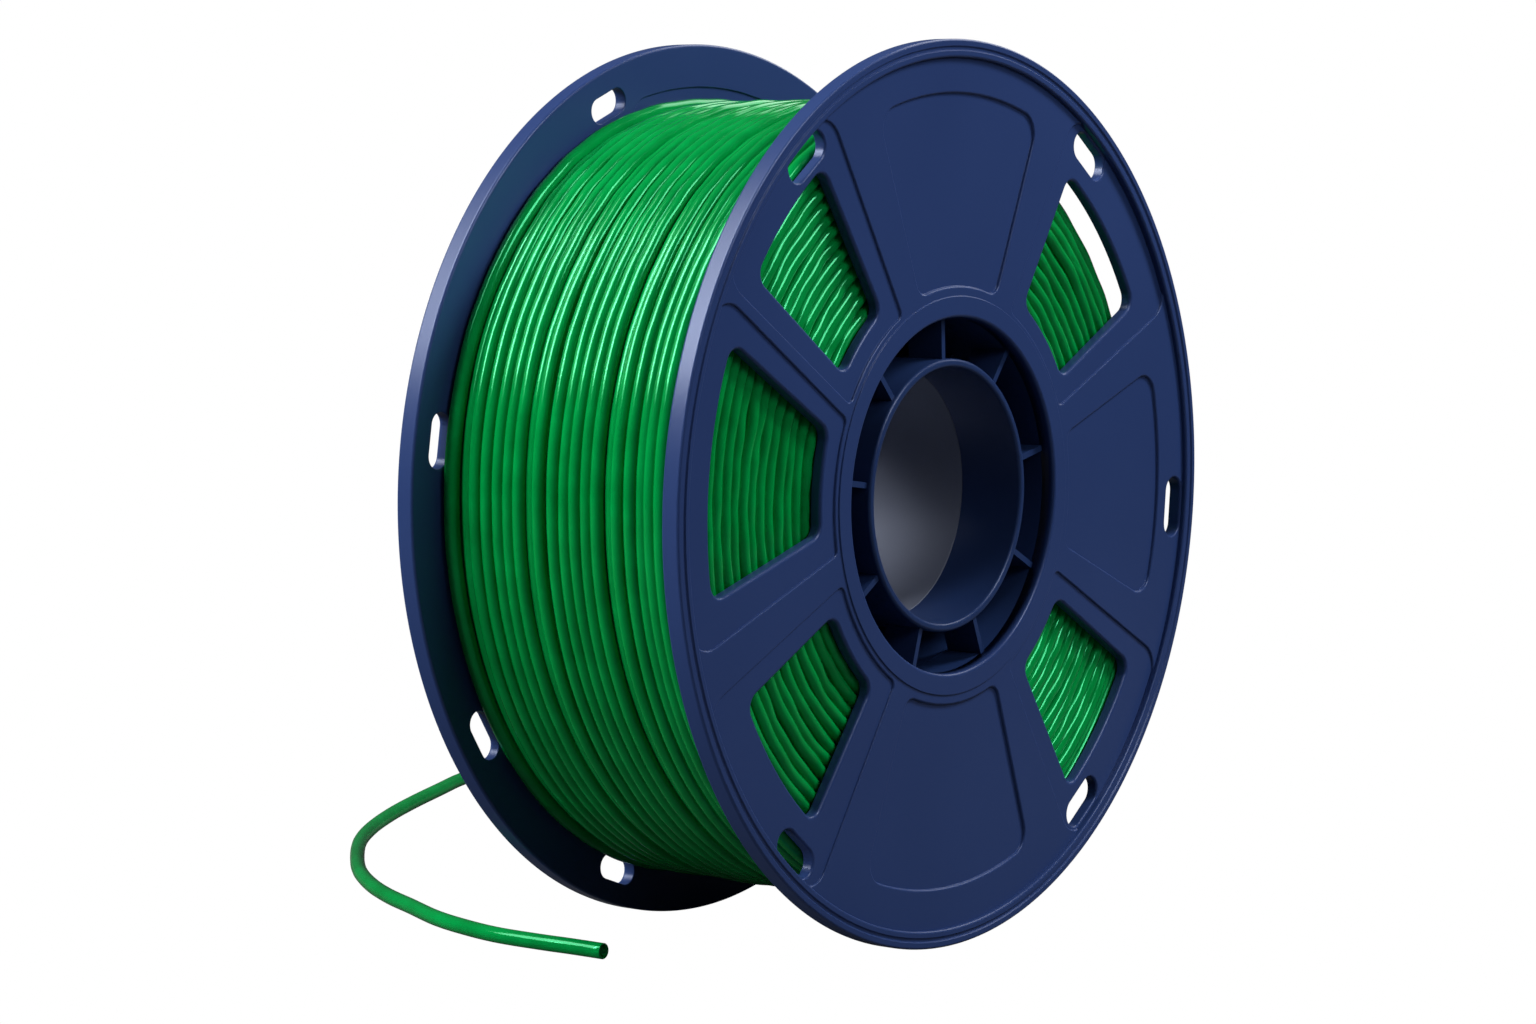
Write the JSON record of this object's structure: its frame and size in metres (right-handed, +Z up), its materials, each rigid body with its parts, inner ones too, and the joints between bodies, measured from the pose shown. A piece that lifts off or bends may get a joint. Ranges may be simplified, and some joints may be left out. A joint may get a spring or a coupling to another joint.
{
  "type": "wire spool",
  "caption": "Round plastic spool with windowed flanges and a ribbed hub, wound with a green plastic-covered strand whose free end lies on the floor.",
  "frame": {"origin": "on the floor, midway between the flanges and under the spool's axis", "axes": "+Y along the bore from the near flange to the far flange, +Z up, +X to the right of the near flange"},
  "size_m": [0.2364, 0.2387, 0.2],
  "materials": {
    "navy_plastic": "satin",
    "green_strand": "gloss"
  },
  "bodies": {
    "root": {"near_flange": "navy_plastic", "near_barrel": "navy_plastic", "near_bore_tube": "navy_plastic", "near_ribs": "navy_plastic", "far_flange": "navy_plastic", "far_barrel": "navy_plastic", "far_bore_tube": "navy_plastic", "far_ribs": "navy_plastic", "winding_core": "green_strand", "outer_turns": "green_strand", "free_end": "green_strand"}
  },
  "joints": []
}
